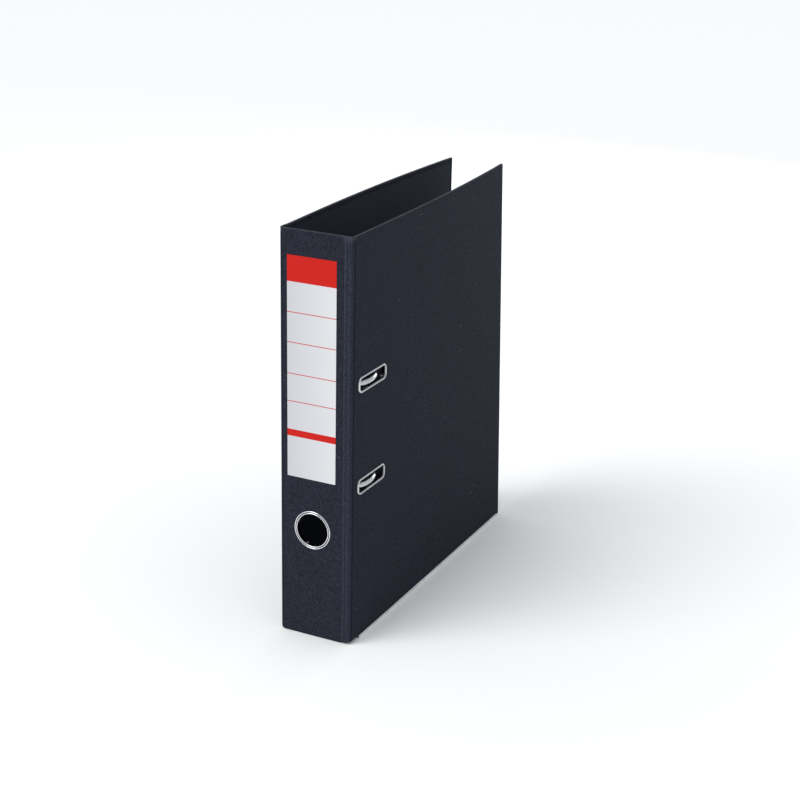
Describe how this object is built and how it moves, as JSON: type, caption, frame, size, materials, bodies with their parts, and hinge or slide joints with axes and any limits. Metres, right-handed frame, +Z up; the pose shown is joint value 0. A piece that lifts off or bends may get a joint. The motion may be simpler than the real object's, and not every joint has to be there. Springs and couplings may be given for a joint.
{
  "type": "lever arch file",
  "caption": "Upright A4 lever arch file with hinged board covers, finger ring, slotted eyelets and a locking arch mechanism inside.",
  "frame": {"origin": "centre of the base of the closed file's bounding box, on the shelf", "axes": "+Z up, -Y out of the spine towards the reader, +X towards the front cover"},
  "size_m": [0.068, 0.2848, 0.318],
  "materials": {
    "greyboard": "matt recycled grey board",
    "covering": "charcoal covering with a fine embossed grain, low sheen",
    "lining": "charcoal lining paper, matt",
    "label_card": "coated white label with red bands, glossy",
    "bright_nickel": "bright nickel plate",
    "zinc_steel": "zinc-plated pressed steel",
    "edge_steel": "pale steel edge channel",
    "spring_steel": "blued spring steel",
    "black_plastic": "black moulded plastic"
  },
  "bodies": {
    "spine": {"spine_board": "greyboard", "spine_wrap": "covering", "spine_lining": "lining", "spine_label": "label_card", "finger_ring": "bright_nickel", "finger_ring_washer": "zinc_steel", "front_hinge_foil": "covering", "back_hinge_foil": "covering"},
    "front_cover": {"front_board": "greyboard", "front_wrap": "covering", "front_lining": "lining", "lower_slot_eyelet": "bright_nickel", "upper_slot_eyelet": "bright_nickel", "front_edge_strip": "edge_steel"},
    "back_cover": {"back_board": "greyboard", "back_wrap": "covering", "back_lining": "lining", "back_edge_strip": "edge_steel", "base_plate": "zinc_steel", "mechanism_rivets": "bright_nickel", "lower_bearing_strap": "zinc_steel", "upper_bearing_strap": "zinc_steel", "arch_spring": "spring_steel", "lower_post": "bright_nickel", "upper_post": "bright_nickel", "lever_pivot_pin": "zinc_steel"},
    "arches": {"arch_wire": "bright_nickel"},
    "lever": {"lever_arm": "bright_nickel", "lever_grip": "black_plastic", "roller_pin": "zinc_steel"},
    "roller": {"lever_roller": "black_plastic"},
    "compressor": {"compressor_bar": "black_plastic", "compressor_clip": "spring_steel"}
  },
  "joints": [
    {"name": "front_cover_hinge", "type": "hinge", "parent": "spine", "child": "front_cover", "pos_m": [0.03032, -0.14122, 0.1662], "axis": [0, 0, -1], "range_deg": [0, 175], "deforming": ["front_hinge_foil"]},
    {"name": "back_cover_hinge", "type": "hinge", "parent": "spine", "child": "back_cover", "pos_m": [-0.02919, -0.14122, 0.1662], "axis": [0, 0, 1], "range_deg": [0, 100], "deforming": ["back_hinge_foil"]},
    {"name": "arch_swing", "type": "hinge", "parent": "back_cover", "child": "arches", "pos_m": [-0.02331, -0.13079, 0.1662], "axis": [0, 0, -1], "range_deg": [0, 50], "deforming": ["arch_spring"]},
    {"name": "lever_pivot", "type": "hinge", "parent": "back_cover", "child": "lever", "pos_m": [-0.02214, -0.11894, 0.2162], "axis": [0.0365, -0.9993, 0], "range_deg": [0, 90]},
    {"name": "roller_spin", "type": "hinge", "parent": "lever", "child": "roller", "pos_m": [-0.02214, -0.11894, 0.2106], "axis": [-0.0365, 0.9993, 0], "continuous": true},
    {"name": "compressor_slide", "type": "slide", "parent": "back_cover", "child": "compressor", "axis": [0.9993, 0.0365, 0], "range_m": [0, 0.038]}
  ],
  "couplings": [
    {"joint": "arch_swing", "follows": "back_cover_hinge", "ratio": 0.5},
    {"joint": "lever_pivot", "follows": "back_cover_hinge", "ratio": 0.9}
  ]
}
